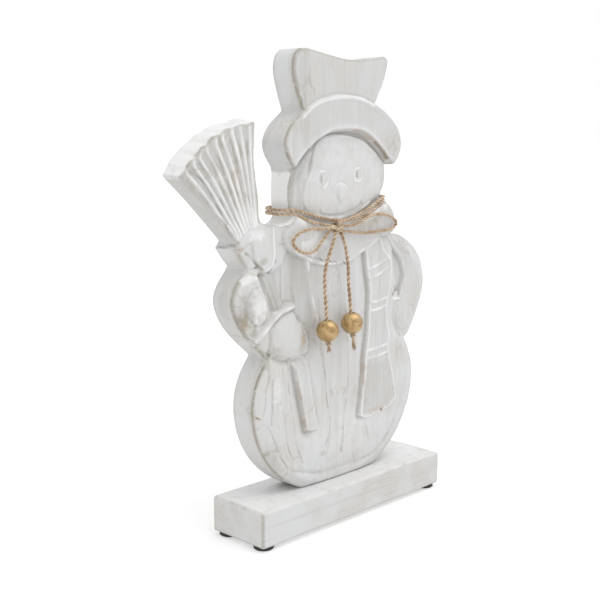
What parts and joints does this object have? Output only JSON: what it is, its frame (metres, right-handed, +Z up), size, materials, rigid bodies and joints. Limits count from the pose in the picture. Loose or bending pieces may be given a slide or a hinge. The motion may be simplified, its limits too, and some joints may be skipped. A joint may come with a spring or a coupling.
{
  "type": "wooden snowman figure",
  "caption": "Whitewashed carved plank snowman with a broom on a rectangular wooden base, with a jute bow at the neck whose tails end in gold wooden beads.",
  "frame": {"origin": "centre of the footprint of the figure and its base, on the surface the rubber feet stand on", "axes": "+Z up; +Y towards the back, so the carved front looks along -Y; +X to the viewer's right, away from the broom"},
  "size_m": [0.2392, 0.0544, 0.333],
  "materials": {
    "whitewashed_wood": "matt whitewash over carved and sanded wood, worn to bare wood at the edges",
    "screw_steel": "plain zinc plated",
    "black_rubber": "matt",
    "jute": "twisted natural jute twine",
    "gold_paint": "satin gold paint, slightly mottled"
  },
  "bodies": {
    "figure": {"base_block": "whitewashed_wood", "snowman_figure": "whitewashed_wood", "mounting_screw_left": "screw_steel", "mounting_screw_right": "screw_steel", "foot_front_left": "black_rubber", "foot_front_right": "black_rubber", "foot_back_left": "black_rubber", "foot_back_right": "black_rubber", "neck_twine": "jute", "bow_knot": "jute", "bow_loop_left": "jute", "bow_loop_right": "jute"},
    "left_tail_root": {"twine_tail_left_root": "jute"},
    "left_tail": {"twine_tail_left": "jute", "end_knot_left": "jute"},
    "left_bead": {"bead_left": "gold_paint"},
    "right_tail_root": {"twine_tail_right_root": "jute"},
    "right_tail": {"twine_tail_right": "jute", "end_knot_right": "jute"},
    "right_bead": {"bead_right": "gold_paint"}
  },
  "joints": [
    {"name": "left_tail_sway", "type": "hinge", "parent": "figure", "child": "left_tail_root", "pos_m": [0.00932, -0.0166, 0.2131], "axis": [0, 1, 0], "range_deg": [0, 30]},
    {"name": "left_tail_lift", "type": "hinge", "parent": "left_tail_root", "child": "left_tail", "pos_m": [0.00932, -0.0166, 0.2131], "axis": [-1, 0, 0], "range_deg": [0, 70]},
    {"name": "left_bead_slide", "type": "slide", "parent": "left_tail", "child": "left_bead", "axis": [-0.0391, 0.0554, 0.9977], "range_m": [0, 0.014]},
    {"name": "right_tail_sway", "type": "hinge", "parent": "figure", "child": "right_tail_root", "pos_m": [0.00932, -0.0166, 0.2131], "axis": [0, -1, 0], "range_deg": [0, 30]},
    {"name": "right_tail_lift", "type": "hinge", "parent": "right_tail_root", "child": "right_tail", "pos_m": [0.00932, -0.0166, 0.2131], "axis": [-1, 0, 0], "range_deg": [0, 70]},
    {"name": "right_bead_slide", "type": "slide", "parent": "right_tail", "child": "right_bead", "axis": [-0.0631, 0.0666, 0.9958], "range_m": [0, 0.014]}
  ]
}
